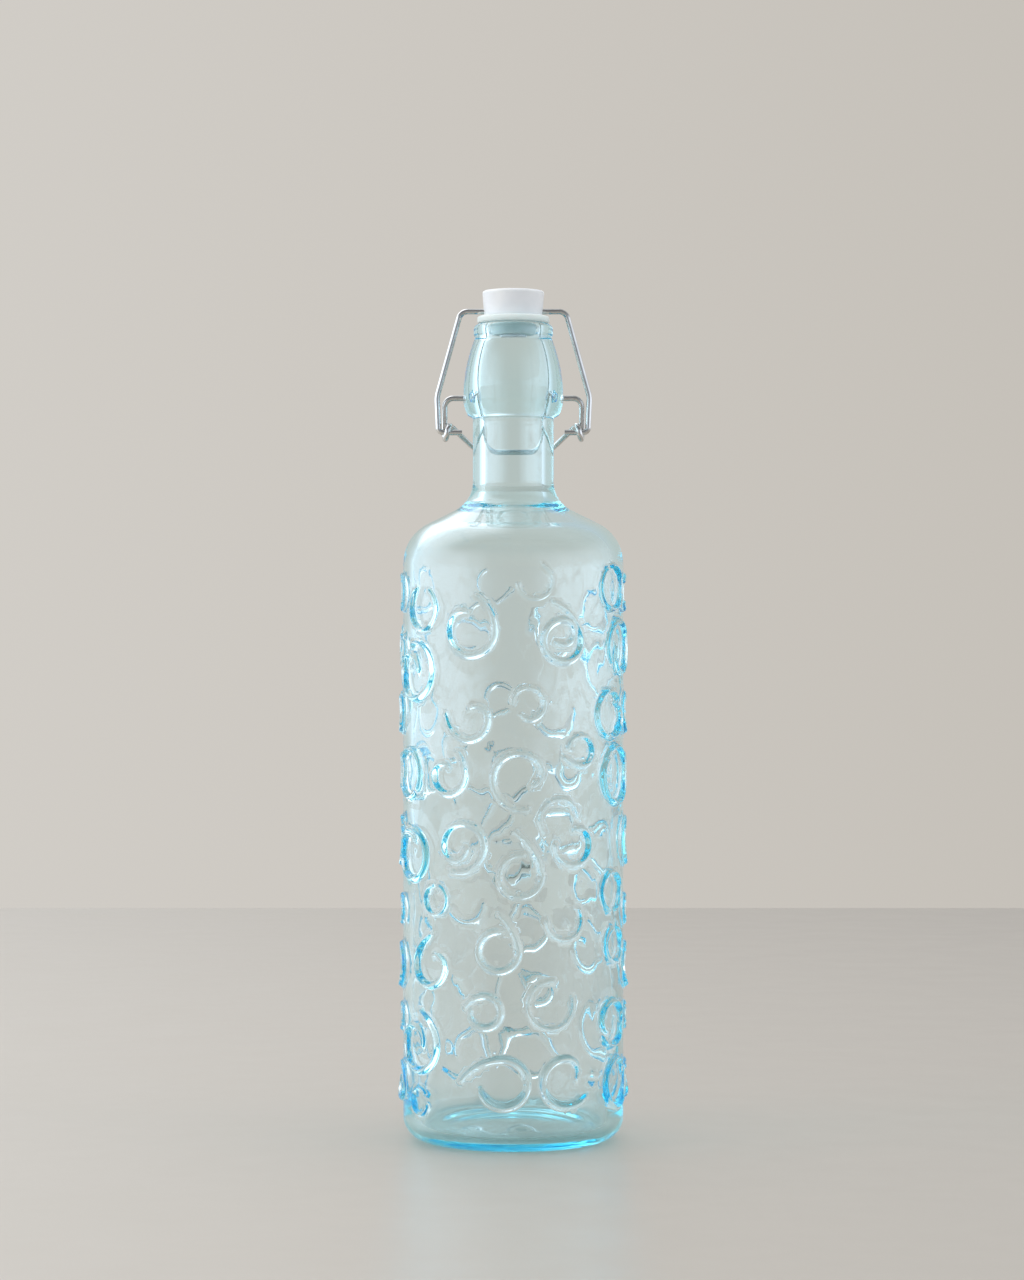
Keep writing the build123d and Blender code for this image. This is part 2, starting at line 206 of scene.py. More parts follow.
def unit(angle):
    """The direction at an angle, or one row for each of many angles."""
    return np.stack([np.cos(angle), np.sin(angle)], axis=-1)


def scroll_arcs(row):
    """The arcs of one scroll on the unrolled wall: middle, radius, first and last angle, and how
    big the ridge is at both. It thins towards its tips."""
    around, up, size, start, tail_size, tail, ring, hook, hand = row
    middle = np.array([around * 2 * pi * BODY_RADIUS, up * BODY_HEIGHT])
    radius = size * RING_RADIUS
    first = start * 2 * pi
    last = first + hand * ring * 2 * pi
    arcs = [(middle, radius, first, last, 1 if tail else TIP_SHARE, 1 if hook else TIP_SHARE)]
    if tail:
        wide = radius * tail_size
        centre = middle + (radius - wide) * unit(first)
        arcs.append((centre, wide, first - hand * tail * 2 * pi, first, TIP_SHARE, 1))
    if hook:
        tight = radius * HOOK_SHARE
        centre = middle + (radius - tight) * unit(last)
        arcs.append((centre, tight, last, last + hand * hook * 2 * pi, 1, TIP_SHARE))
    return arcs


# A two-part mould: the back half is the front half turned round
ROUND = 2 * pi * BODY_RADIUS
scrolls = [scroll_arcs(row) for row in SCROLL_SHARES]
scrolls += [[(middle + (ROUND / 2, 0), *rest) for middle, *rest in arcs] for arcs in scrolls]


def brought_round(points):
    """Moves points of the unrolled wall by whole turns, to within half a turn of zero."""
    points[:, 0] = (points[:, 0] + ROUND / 2) % ROUND - ROUND / 2
    return points


def arc_ridge(points, arc, half):
    """How high the ridge along an arc is at each point of the unrolled wall, 1 at the most."""
    middle, radius, first, last, first_size, last_size = arc
    low, high = min(first, last), max(first, last)
    away = brought_round(points - middle)
    length = np.hypot(away[:, 0], away[:, 1])
    angle = (np.arctan2(away[:, 1], away[:, 0]) - low) % (2 * pi) + low
    ends = [np.hypot(*(away - radius * unit(end)).T) for end in (first, last)]
    # Past either end of the arc the nearer end counts, so each tip is round
    beside = angle <= high
    distance = np.where(beside, np.abs(length - radius), np.minimum(*ends))
    along = np.where(beside, (angle - first) / (last - first), ends[0] > ends[1])
    size = first_size + (last_size - first_size) * along
    share = np.clip(distance / (half * size), 0, 1)
    return size * (1 - share**CROWN_POWER) ** FOOT_POWER


def ridge(points, height, half):
    """How far the relief stands out at each point of the unrolled wall."""
    total = np.zeros(len(points))
    for arcs in scrolls:
        reach = max(arc[1] for arc in arcs) * 2 + half
        away = brought_round(points - arcs[0][0])
        near = np.flatnonzero(np.abs(away).max(axis=1) < reach)
        if len(near):
            highest = np.max([arc_ridge(points[near], arc, half) for arc in arcs], axis=0)
            total[near] += highest**MELT_POWER
    return height * np.minimum(total ** (1 / MELT_POWER), 1)


def rounded(points, radii, step):
    """A run of straight lines with rounded corners, whose points are about a step apart round
    each corner."""
    path = [np.array(points[0], float)]
    for before, corner, after, radius in zip(points, points[1:], points[2:], radii):
        before, corner, after = (np.array(p, float) for p in (before, corner, after))
        back = (before - corner) / np.linalg.norm(before - corner)
        ahead = (after - corner) / np.linalg.norm(after - corner)
        half = np.arccos(np.clip(back @ ahead, -1, 1)) / 2
        reach = radius / tan(half)
        middle = corner + (back + ahead) / np.linalg.norm(back + ahead) * radius / sin(half)
        start, end = corner + back * reach - middle, corner + ahead * reach - middle
        sweep = pi - 2 * half
        count = max(2, round(sweep / step))
        for k in range(count + 1):
            share = k / count
            point = (sin((1 - share) * sweep) * start + sin(share * sweep) * end) / sin(sweep)
            path.append(middle + point)
    path.append(np.array(points[-1], float))
    return path


def bulge(widest, end, count):
    """An arc that leaves a bulb's widest ring straight up or down and ends at a point."""
    out, up = widest[0] - end[0], end[1] - widest[1]
    radius = (out**2 + up**2) / (2 * out)
    sweep = atan2(up, radius - out)
    angles = [sweep * k / count for k in range(1, count + 1)]
    return [np.array(widest) - (radius * (1 - cos(a)), -radius * sin(a)) for a in angles]


def split(path, longest):
    """The same path with no step longer than longest."""
    fine = [path[0]]
    for a, b in zip(path, path[1:]):
        count = int(np.ceil(np.linalg.norm(b - a) / longest - ROUNDING))
        fine += [a + (b - a) * k / count for k in range(1, count + 1)]
    return fine


def around_axis(out, angle, up):
    """Points in space from their distance to the axis, their angle from the front and height."""
    return np.stack([out * np.sin(angle), -out * np.cos(angle), up], axis=1)


class Skin:
    """Points and faces of a closed mesh under construction."""

    def __init__(self):
        self.points, self.faces = [], []

    def add(self, points):
        """Takes points in and returns their numbers."""
        first = sum(map(len, self.points))
        self.points.append(np.asarray(points, float).reshape(-1, 3))
        return np.arange(first, first + len(self.points[-1]))

    def rings(self, rows, lower=None):
        """Rings of quads through the rows (radius, height), where a radius is one number or one
        for each column; returns the last ring."""
        for radius, height in rows:
            if np.ndim(radius) == 0 and radius < POLE_RADIUS:
                ring = self.add([[0, 0, height]])
            else:
                ring = self.add(around_axis(radius, ANGLES, np.full(COLUMNS, height)))
            if lower is not None:
                self.join(lower, ring)
            lower = ring
        return lower

    def join(self, lower, upper):
        """Faces between two rings, one of which may be a single point."""
        for k in range(COLUMNS):
            n = (k + 1) % COLUMNS
            if len(lower) == 1:
                self.faces.append((lower[0], upper[n], upper[k]))
            elif len(upper) == 1:
                self.faces.append((lower[k], lower[n], upper[0]))
            else:
                self.faces.append((lower[k], lower[n], upper[n], upper[k]))

    def patch(self, lower, low, high, inner, width, place):
        """A fine sheet from the ring lower to a new ring, round the whole bottle, where it is
        width long. inner are points (around, up) within it, and place puts such points in
        space. Returns the new ring."""
        edge = np.arange(COLUMNS + 1) * width / COLUMNS - width / 2
        seam = np.linspace(low, high, max(2, round((high - low) / SEAM_STEP)) + 1)[1:-1]
        flat = [(u, low) for u in edge] + [(u, high) for u in edge]
        flat += [(-width / 2, v) for v in seam] + [(width / 2, v) for v in seam]
        start = len(flat)
        kept = np.abs(inner[:, 0]) < width / 2 - SEAM_STEP / 2
        kept &= (inner[:, 1] > low + SEAM_STEP / 2) & (inner[:, 1] < high - SEAM_STEP / 2)
        flat = np.vstack([np.array(flat), inner[kept]])

        # The border: both rings, and the seam behind the bottle, which is there on both sides
        rows, cols, last = 2 * (COLUMNS + 1), len(seam), COLUMNS
        border = [(k, k + 1) for k in range(last)]
        border += [(last + 1 + k, last + 2 + k) for k in range(last)]
        left = [0] + [rows + k for k in range(cols)] + [last + 1]
        right = [last] + [rows + cols + k for k in range(cols)] + [rows - 1]
        border += list(zip(left, left[1:])) + list(zip(right, right[1:]))
        found = delaunay_2d_cdt([Vector(p) for p in flat], border, [], 0, WELD)
        triangles, source = found[2], [ids[0] for ids in found[3]]

        # Both sides of the seam get the same points in space
        made = place(flat)
        number = np.zeros(len(flat), int)
        number[:COLUMNS] = lower
        number[COLUMNS] = lower[0]
        upper = self.add(made[last + 1 : last + 1 + COLUMNS])
        number[last + 1 : rows - 1] = upper
        number[rows - 1] = upper[0]
        number[rows : rows + cols] = self.add(made[rows : rows + cols])
        number[rows + cols : start] = number[rows : rows + cols]
        number[start:] = self.add(made[start:])
        self.faces += [tuple(number[source[k]] for k in face) for face in triangles]
        return upper


def spaced(points, gap):
    """The points, in order, without those closer than gap to one already kept."""
    cells, kept = {}, []
    for k, (u, v) in enumerate(points):
        i, j = int(u // gap), int(v // gap)
        near = [cells.get((i + a, j + b), ()) for a in (-1, 0, 1) for b in (-1, 0, 1)]
        if all(hypot(u - points[n][0], v - points[n][1]) >= gap for cell in near for n in cell):
            cells.setdefault((i, j), []).append(k)
            kept.append(k)
    return points[kept]


def loose_net(low, high, half_width, step):
    """Staggered rows of points over a band of the unrolled glass."""
    rows = []
    for k, v in enumerate(np.arange(low + step, high - step / 2, step * NET_ROW_SHARE)):
        u = np.arange(-half_width + step / 2 + step / 2 * (k % 2), half_width, step)
        rows.append(np.stack([u, np.full(len(u), v)], axis=1))
    return np.vstack(rows)


def relief_points():
    """Points for the fine mesh of the wall: along every ridge, and a loose net between them."""
    arcs = [arc for scroll in scrolls for arc in scroll]
    points = []
    for lane in LANE_SHARES:
        for middle, radius, first, last, first_size, last_size in arcs:
            count = max(2, round(abs(last - first) * radius / LANE_STEP))
            share = np.arange(count + 1) / count
            path = radius + lane * RIDGE_HALF * (first_size + (last_size - first_size) * share)
            points.append(middle + path[:, None] * unit(first + (last - first) * share))
    tip = unit(np.arange(TIP_POINTS) * 2 * pi / TIP_POINTS)
    for middle, radius, first, last, first_size, last_size in arcs:
        for end, size in ((first, first_size), (last, last_size)):
            for share in TIP_RING_SHARES:
                points.append(middle + radius * unit(end) + share * size * RIDGE_HALF * tip)
    net = loose_net(RELIEF_LOW, RELIEF_HIGH, ROUND / 2, RELIEF_NET_STEP)
    points.append(net[ridge(net, 1.0, RIDGE_HALF * RELIEF_NET_SHARE) <= 0])
    return spaced(brought_round(np.vstack(points)), RELIEF_POINT_GAP)


def wall_radius(up):
    """The plain wall's radius at a height, into the start of the shoulder."""
    over = np.clip(up - BODY_HEIGHT, 0, None)
    return BODY_RADIUS - SHOULDER_RADIUS + np.sqrt(SHOULDER_RADIUS**2 - over**2)


def place_relief(flat):
    """Points of the unrolled wall, put in space with the relief on it."""
    out = wall_radius(flat[:, 1]) + ridge(flat, RIDGE_HEIGHT, RIDGE_HALF)
    return around_axis(out, flat[:, 0] / BODY_RADIUS, flat[:, 1])


def bulb_bend(radius, up):
    """The radius of the arc from the bulb's widest ring to a ring under or over it."""
    out = BULB_RADIUS - radius
    return (out**2 + (up - PIVOT_Z) ** 2) / (2 * out)


def bulb_radius_at(up):
    """The bulb's radius at a height near its widest ring."""
    under = bulb_bend(NECK_RADIUS + BULB_SHELF, BULB_Z + BULB_SHELF_RISE)
    bend = np.where(up < PIVOT_Z, under, bulb_bend(GROOVE_RADIUS, GROOVE_Z))
    return BULB_RADIUS - bend + np.sqrt(bend**2 - (up - PIVOT_Z) ** 2)


def off_dimple(flat):
    """How far each point of the unrolled bulb is from the middle of the nearer dimple."""
    return np.hypot(np.abs(flat[:, 0]) - pi / 2 * BULB_RADIUS, flat[:, 1] - PIVOT_Z)


def place_bulb(flat):
    """Points of the unrolled bulb, put in space with the dimples in it."""
    made = around_axis(bulb_radius_at(flat[:, 1]), flat[:, 0] / BULB_RADIUS, flat[:, 1])
    sunk = np.clip((DIMPLE_RADIUS - off_dimple(flat)) / tan(DIMPLE_TAPER), 0, DIMPLE_DEPTH)
    floor = np.sign(made[:, 0]) * (BULB_RADIUS - sunk)
    made[:, 0] = np.where(sunk > 0, floor, made[:, 0])
    return made


def dimple_points():
    """Rings of points for the dimples, and a net round them."""
    tip = DIMPLE_RADIUS - DIMPLE_DEPTH * tan(DIMPLE_TAPER)
    radii = [DIMPLE_DOT, tip / 2, tip, (tip + DIMPLE_RADIUS) / 2, DIMPLE_RADIUS]
    radii += [DIMPLE_RADIUS + collar for collar in DIMPLE_COLLARS]
    ring = unit(np.arange(DIMPLE_POINTS) * 2 * pi / DIMPLE_POINTS)
    points = []
    for side in (-1, 1):
        middle = np.array([side * pi / 2 * BULB_RADIUS, PIVOT_Z])
        points += [middle + radius * ring for radius in radii]
    net = loose_net(PIVOT_Z - BULB_PATCH, PIVOT_Z + BULB_PATCH, pi * BULB_RADIUS, BULB_NET_STEP)
    points.append(net[off_dimple(net) > DIMPLE_RADIUS + DIMPLE_NET_GAP])
    return spaced(np.vstack(points), BULB_POINT_GAP)


def outside_paths():
    """The plain outside: underside, heel, shoulder with neck, bulb under and over, and lip."""
    foot = BODY_RADIUS - HEEL_RADIUS - FOOT_RING_WIDTH
    dome = (foot**2 + PUSH_UP_DEPTH**2) / (2 * PUSH_UP_DEPTH)
    underside = [
        np.array([r, PUSH_UP_DEPTH - dome + np.sqrt(dome**2 - r**2)])
        for r in np.linspace(0, foot, UNDERSIDE_RINGS)
    ]
    heel = rounded(
        [underside[-1], (BODY_RADIUS, 0), (BODY_RADIUS, RELIEF_LOW)], [HEEL_RADIUS], ROUGH_TURN
    )
    shelf = NECK_RADIUS + BULB_SHELF, BULB_Z + BULB_SHELF_RISE
    neck = rounded(
        [
            (BODY_RADIUS, RELIEF_LOW),
            (BODY_RADIUS, SHOULDER_Z),
            (NECK_RADIUS, NECK_Z),
            (NECK_RADIUS, BULB_Z),
            shelf,
        ],
        [SHOULDER_RADIUS, FLARE_RADIUS, BULB_EDGE_RADIUS],
        FINE_TURN,
    )
    neck = [p for p in neck if p[1] > RELIEF_HIGH + GAP_OVER_PATCH]
    belly = BULB_RADIUS, PIVOT_Z
    under_bulb = bulge(belly, shelf, UNDER_BULB_RINGS)[::-1][1:]
    under_bulb = [p for p in under_bulb if p[1] < PIVOT_Z - BULB_PATCH - GAP_UNDER_PATCH]
    over_bulb = bulge(belly, (GROOVE_RADIUS, GROOVE_Z), OVER_BULB_RINGS)[:-1]
    over_bulb = [p for p in over_bulb if p[1] > PIVOT_Z + BULB_PATCH + GAP_OVER_PATCH]
    lip = rounded(
        [
            (GROOVE_RADIUS, GROOVE_Z),
            (LIP_RADIUS, GROOVE_Z + LIP_SLOPE),
            (LIP_RADIUS, LIP_Z),
            (MOUTH_BORE_RADIUS, LIP_Z),
            (MOUTH_BORE_RADIUS, GROOVE_Z),
        ],
        [LIP_LOW_RADIUS, LIP_TOP_RADIUS, MOUTH_RADIUS],
        ROUGH_TURN,
    )
    return underside, heel, neck, under_bulb, over_bulb, lip


def inside_rows():
    """The inside from the mouth down to the middle of the floor, with faint waves in the wall."""
    swell = BULB_BORE_RADIUS, BULB_BORE_Z
    path = bulge(swell, (MOUTH_BORE_RADIUS, GROOVE_Z), BORE_TOP_RINGS)[::-1]
    path += [np.array(swell)] + bulge(swell, (NECK_BORE_RADIUS, BULB_Z), BORE_FOOT_RINGS)[:-1]
    path += rounded(
        [
            (NECK_BORE_RADIUS, BULB_Z),
            (NECK_BORE_RADIUS, INNER_NECK_Z),
            (INNER_RADIUS, INNER_SHOULDER_Z),
            (INNER_RADIUS, INNER_TAPER_HEIGHT),
            (INNER_FOOT_RADIUS, BASE_Z),
            (0, BASE_Z),
        ],
        [INNER_FLARE_RADIUS, INNER_SHOULDER_RADIUS, INNER_TAPER_RADIUS, INNER_HEEL_RADIUS],
        FINE_TURN,
    )
    rows = []
    for radius, height in split(path, WALL_STEP)[1:]:
        if INNER_TAPER_HEIGHT <= height <= BODY_HEIGHT:
            flat = np.stack([ANGLES * BODY_RADIUS, np.full(COLUMNS, height)], axis=1)
            radius = radius + ridge(flat, INNER_WAVE_HEIGHT, INNER_WAVE_HALF)
        rows.append((radius, height))
    return rows


def glass_skin():
    """The whole bottle as one closed skin: rings round the axis and two fine patches."""
    underside, heel, neck, under_bulb, over_bulb, lip = outside_paths()
    skin = Skin()
    last = skin.rings(underside)
    last = skin.rings(split(heel, HEEL_STEP)[1:], last)
    last = skin.patch(last, RELIEF_LOW, RELIEF_HIGH, relief_points(), ROUND, place_relief)
    last = skin.rings(split(neck, WALL_STEP), last)
    last = skin.rings(under_bulb, last)
    low, high = PIVOT_Z - BULB_PATCH, PIVOT_Z + BULB_PATCH
    last = skin.rings([(float(bulb_radius_at(low)), low)], last)
    last = skin.patch(last, low, high, dimple_points(), 2 * pi * BULB_RADIUS, place_bulb)
    last = skin.rings(over_bulb, last)
    last = skin.rings(lip, last)
    skin.rings(inside_rows(), last)
    return skin


def add_object(name, data):
    """A new object in the scene, from a mesh, a light or a camera."""
    made = bpy.data.objects.new(name, data)
    bpy.context.scene.collection.objects.link(made)
    return made


def add_mesh(name, points, faces):
    """A new mesh object from points in metres and faces."""
    mesh = bpy.data.meshes.new(name)
    mesh.from_pydata(points, [], faces)
    return add_object(name, mesh)


skin = glass_skin()
skin_points = [Vector(p) * MM for p in np.vstack(skin.points)]
glass = add_mesh("glass_body", skin_points, [tuple(map(int, face)) for face in skin.faces])
glass.data.validate()
glass.data.shade_smooth()
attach(glass, "bottle")
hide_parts("glass_bottle")


# Materials. From here on, lengths are metres.
def material(name):
    """A new material, its node tree and the shader of its surface."""
    made = bpy.data.materials.new(name)
    made.use_nodes = True
    return made, made.node_tree, made.node_tree.nodes["Principled BSDF"]


def set_values(node, **values):
    """Sets inputs of a node by their names, with a line where a name has a space."""
    for name, value in values.items():
        node.inputs[name.replace("_", " ")].default_value = value


def feed(tree, value, socket):
    """Gives a socket a colour, a number or what another socket puts out."""
    if isinstance(value, tuple):
        socket.default_value = (*value, 1)
    elif isinstance(value, (int, float)):
        socket.default_value = value
    else:
        tree.links.new(value, socket)


def maths(tree, operation, *values):
    """The result of a math node on numbers or sockets."""
    node = tree.nodes.new("ShaderNodeMath")
    node.operation = operation
    for k, value in enumerate(values):
        feed(tree, value, node.inputs[k])
    return node.outputs[0]


def axes(tree, kind):
    """The three coordinates of a place or direction, of the named kind."""
    place = tree.nodes.new("ShaderNodeTexCoord")
    parts = tree.nodes.new("ShaderNodeSeparateXYZ")
    feed(tree, place.outputs[kind], parts.inputs[0])
    return parts.outputs


def noise(tree, scale, detail, stretch=(1, 1, 1)):
    """Cloudy noise on the piece's own coordinates, in clouds per metre."""
    place = tree.nodes.new("ShaderNodeTexCoord")
    mapping = tree.nodes.new("ShaderNodeMapping")
    mapping.inputs["Scale"].default_value = stretch
    clouds = tree.nodes.new("ShaderNodeTexNoise")
    set_values(clouds, Scale=scale, Detail=detail)
    feed(tree, place.outputs["Object"], mapping.inputs["Vector"])
    feed(tree, mapping.outputs[0], clouds.inputs["Vector"])
    return clouds.outputs[0]


def between(tree, share, low, high, start=0.3, stop=0.7):
    """A value that goes from low to high as share goes from start to stop, which are where most
    noise lies if they aren't named."""
    node = tree.nodes.new("ShaderNodeMapRange")
    set_values(node, From_Min=start, From_Max=stop, To_Min=low, To_Max=high)
    feed(tree, share, node.inputs["Value"])
    return node.outputs[0]


def blend(tree, share, first, second):
    """A colour that goes from first to second as share goes from 0 to 1."""
    node = tree.nodes.new("ShaderNodeMix")
    node.data_type = "RGBA"
    feed(tree, first, node.inputs[6])
    feed(tree, second, node.inputs[7])
    feed(tree, share, node.inputs[0])
    return node.outputs[2]


def either(tree, share, first, second):
    """The first shader where share is 0, and the second where it is 1."""
    node = tree.nodes.new("ShaderNodeMixShader")
    feed(tree, share, node.inputs[0])
    feed(tree, first, node.inputs[1])
    feed(tree, second, node.inputs[2])
    return node.outputs[0]


def bump(tree, surface, height, distance, strength):
    """A fine skin on the surface, which stands out by distance where height is 1."""
    node = tree.nodes.new("ShaderNodeBump")
    set_values(node, Strength=strength, Distance=distance)
    feed(tree, height, node.inputs["Height"])
    feed(tree, node.outputs[0], surface.inputs["Normal"])


def clouded(tree, surface, clouds, marks, colours, roughness):
    """Colour that drifts between two with the clouds, and roughness that follows finer marks."""
    colour = blend(tree, between(tree, clouds, 0, 1), *colours)
    feed(tree, colour, surface.inputs["Base Color"])
    feed(tree, between(tree, marks, *roughness), surface.inputs["Roughness"])


def aqua_glass():
    """Clear pressed glass: a faint tint that deepens along the light's way, and slow waves."""
    made, tree, surface = material("aqua_glass")
    output = tree.nodes["Material Output"]
    set_values(surface, Base_Color=(1, 1, 1, 1), Roughness=0.015, IOR=1.5, Transmission_Weight=1.0)
    waves = noise(tree, scale=70, detail=1.5, stretch=(1, 1, 0.35))
    bump(tree, surface, waves, distance=0.0004, strength=0.12)
    absorb = tree.nodes.new("ShaderNodeVolumeAbsorption")
    set_values(absorb, Color=(0.0, 0.88, 0.98, 1), Density=24.0)
    feed(tree, absorb.outputs[0], output.inputs["Volume"])
    path = tree.nodes.new("ShaderNodeLightPath")
    clear = tree.nodes.new("ShaderNodeBsdfTransparent")
    set_values(clear, Color=(0.985, 0.995, 1, 1))
    mixed = either(tree, path.outputs["Is Shadow Ray"], surface.outputs[0], clear.outputs[0])
    feed(tree, mixed, output.inputs["Surface"])
    return made


def white_plastic():
    """Moulded plastic that lets a little light in: clouded white, with a fine skin."""
    made, tree, surface = material("white_plastic")
    set_values(surface, Subsurface_Weight=0.6, Subsurface_Radius=(1, 1, 1), Subsurface_Scale=0.001)
    clouds = noise(tree, scale=120, detail=4)
    marks = noise(tree, scale=500, detail=3)
    colours = [(0.81, 0.85, 0.90), (0.87, 0.90, 0.95)]
    clouded(tree, surface, clouds, marks, colours, roughness=(0.32, 0.46))
    bump(tree, surface, noise(tree, scale=2500, detail=2), distance=0.00005, strength=0.5)
    return made


def pale_rubber():
    """Milky rubber: light goes deep into it, with clouds and a matt skin."""
    made, tree, surface = material("pale_rubber")
    set_values(surface, IOR=1.42)
    set_values(surface, Subsurface_Weight=1.0, Subsurface_Radius=(1, 1, 1), Subsurface_Scale=0.006)
    clouds = noise(tree, scale=160, detail=4)
    marks = noise(tree, scale=700, detail=3)
    colours = [(0.69, 0.89, 0.94), (0.77, 0.93, 0.97)]
    clouded(tree, surface, clouds, marks, colours, roughness=(0.4, 0.6))
    bump(tree, surface, noise(tree, scale=1800, detail=3), distance=0.00006, strength=0.6)
    return made


def bright_wire():
    """Drawn steel wire: bright, with fine marks and slightly duller patches from bending."""
    made, tree, surface = material("bright_wire")
    set_values(surface, Metallic=1.0)
    patches = noise(tree, scale=90, detail=5)
    marks = noise(tree, scale=260, detail=6)
    colours = [(0.58, 0.57, 0.545), (0.76, 0.75, 0.725)]
    clouded(tree, surface, patches, marks, colours, roughness=(0.10, 0.26))
    drawn = noise(tree, scale=1500, detail=4, stretch=(4, 4, 0.6))
    bump(tree, surface, drawn, distance=0.00003, strength=0.5)
    return made


glass.data.materials.append(aqua_glass())
wire = bright_wire()
finishes = {
    "stopper": white_plastic(),
    "seal_ring": pale_rubber(),
    "bail_wire": wire,
    "lever_wire": wire,
}
for node, finish in finishes.items():
    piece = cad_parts[node]
    piece.data.materials.clear()
    piece.data.materials.append(finish)
    piece.data.shade_smooth()

# Table, with a hair of air under the foot, which lets the glass mirror what is above it there,
# as it does on a real table
TABLE_GAP = 0.0001
TABLE_BACK = 1.047
TABLE_HALF = 4.0
TABLE_PAINTED_LIGHT_FADE = 0.5
TABLE_SPECKLE = 0.03
TABLE_PAINTED_LIT_LEFT = (0.59, 0.56, 0.51)
TABLE_PAINTED_SHADE_RIGHT = (0.42, 0.39, 0.355)


def pale_table():
    """Satin table top: finely speckled, with painted light that makes it lighter towards the tall
    light on the left and darker on the right.
    """
    made, tree, surface = material("table")
    # Painted light: the table's colour is lighter on the left, towards the tall light, and darker
    # on the right
    side = between(tree, axes(tree, "Object")[0], 0, 1, -TABLE_PAINTED_LIGHT_FADE, TABLE_PAINTED_LIGHT_FADE)
    grain = noise(tree, scale=900, detail=4)
    share = maths(tree, "ADD", side, between(tree, grain, -TABLE_SPECKLE, TABLE_SPECKLE))
    feed(tree, blend(tree, share, TABLE_PAINTED_LIT_LEFT, TABLE_PAINTED_SHADE_RIGHT), surface.inputs["Base Color"])
    marks = noise(tree, scale=25, detail=4)
    feed(tree, between(tree, marks, 0.32, 0.40), surface.inputs["Roughness"])
    return made


corners = [
    (-TABLE_HALF, -TABLE_HALF, -TABLE_GAP),
    (TABLE_HALF, -TABLE_HALF, -TABLE_GAP),
    (TABLE_HALF, TABLE_BACK, -TABLE_GAP),
    (-TABLE_HALF, TABLE_BACK, -TABLE_GAP),
]
table = add_mesh("table", corners, [(0, 1, 2, 3)])
table.data.materials.append(pale_table())

# Studio: a pale backdrop for the eye, with painted light that makes it lighter on the left, and
# for reflections a room that is dim at the front and bright at both sides, under a ceiling that is
# bright on the left and dark over the front. The ramp of the room runs round from the back by the
# left, where the tall light stands, past the front to the right and back again. A fade gives the
# share of east, north or up at which one colour starts to give way to the next, and at which it
# has.
BACKDROP_PAINTED_LIT_LEFT = (0.645, 0.618, 0.578)
BACKDROP_PAINTED_SHADE_RIGHT = (0.555, 0.525, 0.480)
BACKDROP_PAINTED_LIGHT_FADE = (-0.2, 0.2)
CEILING_LEFT = (2.2, 2.3, 2.5)
CEILING_RIGHT = (0.58, 0.61, 0.64)
CEILING_SIDE_FADE = (-0.22, 0.04)
CEILING_FRONT = (0.22, 0.22, 0.23)
CEILING_FRONT_FADE = (-0.3, 0.1)
CEILING_FADE = (0.30, 0.55)
SOFT_LIGHT = (0.70, 0.70, 0.70)
ROOM = [
    (0.0, (0.60, 0.58, 0.54)),
    (0.08, (0.64, 0.64, 0.62)),
    (0.15, (1.3, 1.5, 1.7)),
    (0.20, (2.15, 2.35, 2.65)),
    (0.33, (2.0, 2.2, 2.5)),
    (0.385, (1.1, 1.25, 1.4)),
    (0.44, (0.34, 0.38, 0.42)),
    (0.53, (0.28, 0.31, 0.34)),
    (0.60, (0.75, 0.85, 1.0)),
    (0.66, (1.3, 1.4, 1.6)),
    (0.76, (1.4, 1.5, 1.7)),
    (0.82, (0.95, 1.0, 1.1)),
    (0.90, (0.60, 0.60, 0.58)),
    (1.0, (0.60, 0.58, 0.54)),
]


def room_colour(tree):
    """The colour of the room and its ceiling in each direction."""
    east, north, up = axes(tree, "Generated")
    turned = maths(tree, "ARCTAN2", east, maths(tree, "MULTIPLY", north, -1.0))
    ramp = tree.nodes.new("ShaderNodeValToRGB")
    ramp.color_ramp.interpolation = "EASE"
    stops = ramp.color_ramp.elements
    stops.remove(stops[0])
    stops[0].position, stops[0].color = ROOM[0][0], (*ROOM[0][1], 1)
    for position, colour in ROOM[1:]:
        stops.new(position).color = (*colour, 1)
    feed(tree, maths(tree, "ADD", maths(tree, "DIVIDE", turned, 2 * pi), 0.5), ramp.inputs[0])
    side = between(tree, east, 0, 1, *CEILING_SIDE_FADE)
    ceiling = blend(tree, side, CEILING_LEFT, CEILING_RIGHT)
    front = between(tree, north, 1, 0, *CEILING_FRONT_FADE)
    ceiling = blend(tree, front, ceiling, CEILING_FRONT)
    return blend(tree, between(tree, up, 0, 1, *CEILING_FADE), ramp.outputs[0], ceiling)


def backdrop(tree, colour):
    """A background of one colour, or of a colour that a node makes."""
    node = tree.nodes.new("ShaderNodeBackground")
    feed(tree, colour, node.inputs["Color"])
    return node.outputs[0]


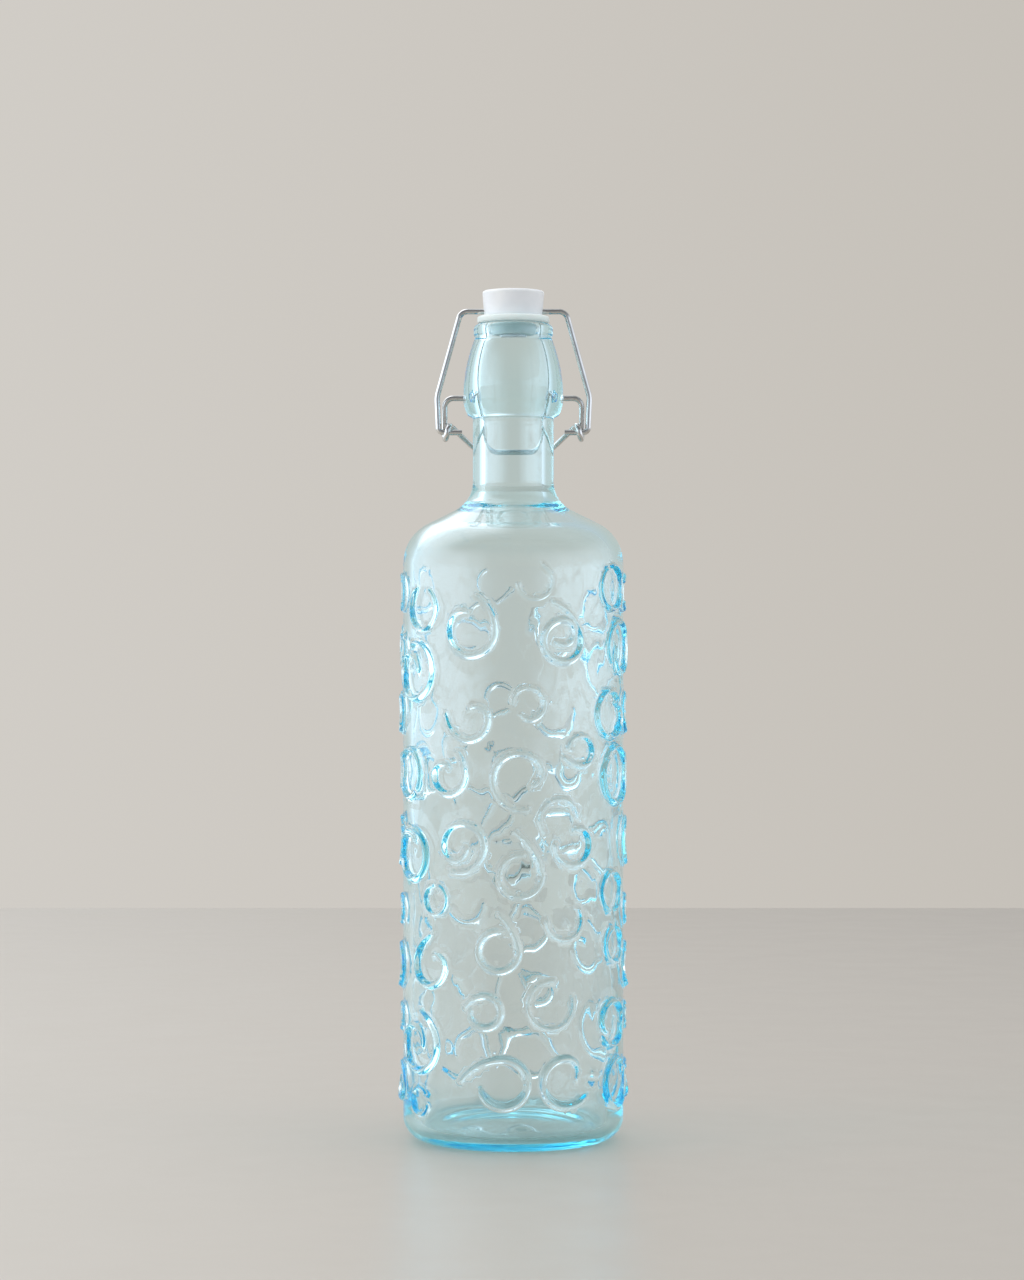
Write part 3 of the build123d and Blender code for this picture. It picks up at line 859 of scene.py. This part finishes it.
def studio():
    """A world that is the backdrop to the camera, the room to what mirrors or refracts, and an
    even soft light to the rest."""
    world = bpy.data.worlds.new("studio")
    world.use_nodes = True
    tree = world.node_tree
    tree.nodes.clear()
    output = tree.nodes.new("ShaderNodeOutputWorld")
    # Painted light: the backdrop's colour is lighter on the left, where the tall light stands, and
    # darker on the right
    side = between(tree, axes(tree, "Generated")[0], 0, 1, *BACKDROP_PAINTED_LIGHT_FADE)
    seen = backdrop(tree, blend(tree, side, BACKDROP_PAINTED_LIT_LEFT, BACKDROP_PAINTED_SHADE_RIGHT))
    path = tree.nodes.new("ShaderNodeLightPath")
    glossy, through = path.outputs["Is Glossy Ray"], path.outputs["Is Transmission Ray"]
    mirrored = maths(tree, "MAXIMUM", glossy, through)
    room = backdrop(tree, room_colour(tree))
    around = either(tree, mirrored, backdrop(tree, SOFT_LIGHT), room)
    feed(tree, either(tree, path.outputs["Is Camera Ray"], around, seen), output.inputs[0])
    return world


bpy.context.scene.world = studio()

# Soft lights: place, size and power. What mirrors or refracts shows the room instead of them.
LIGHTS = {
    "left_box": ((-1.5, -0.45, 0.6), (1.0, 1.6), 12),
    "right_box": ((1.6, -0.5, 0.6), (1.0, 1.6), 6),
    "top_box": ((0, 0.1, 1.9), (1.6, 1.6), 9),
}
LIGHT_TARGET = Vector((0, 0, 0.17))
for name, (place, size, power) in LIGHTS.items():
    lamp = bpy.data.lights.new(name, "AREA")
    lamp.shape = "RECTANGLE"
    lamp.size, lamp.size_y = size
    lamp.energy = power
    box = add_object(name, lamp)
    box.location = place
    box.rotation_euler = (LIGHT_TARGET - Vector(place)).to_track_quat("-Z", "Y").to_euler()
    box.visible_glossy = False
    box.visible_transmission = False

# Light goes round inside a bottle's wall and its ridges many times before it leaves
BOUNCES = 128
bpy.context.scene.cycles.max_bounces = BOUNCES
bpy.context.scene.cycles.transmission_bounces = BOUNCES
bpy.context.scene.cycles.glossy_bounces = BOUNCES // 2

# Camera at the photograph's viewing angle: level, a little over a metre in front
camera_data = bpy.data.cameras.new("camera")
camera_data.lens = 88.8
camera_data.sensor_width = 36
camera = add_object("camera", camera_data)
camera.location = (-0.0005, -1.220, 0.1924)
camera.rotation_euler = (pi / 2, 0, 0)
bpy.context.scene.camera = camera
bpy.context.scene.view_settings.view_transform = "Standard"
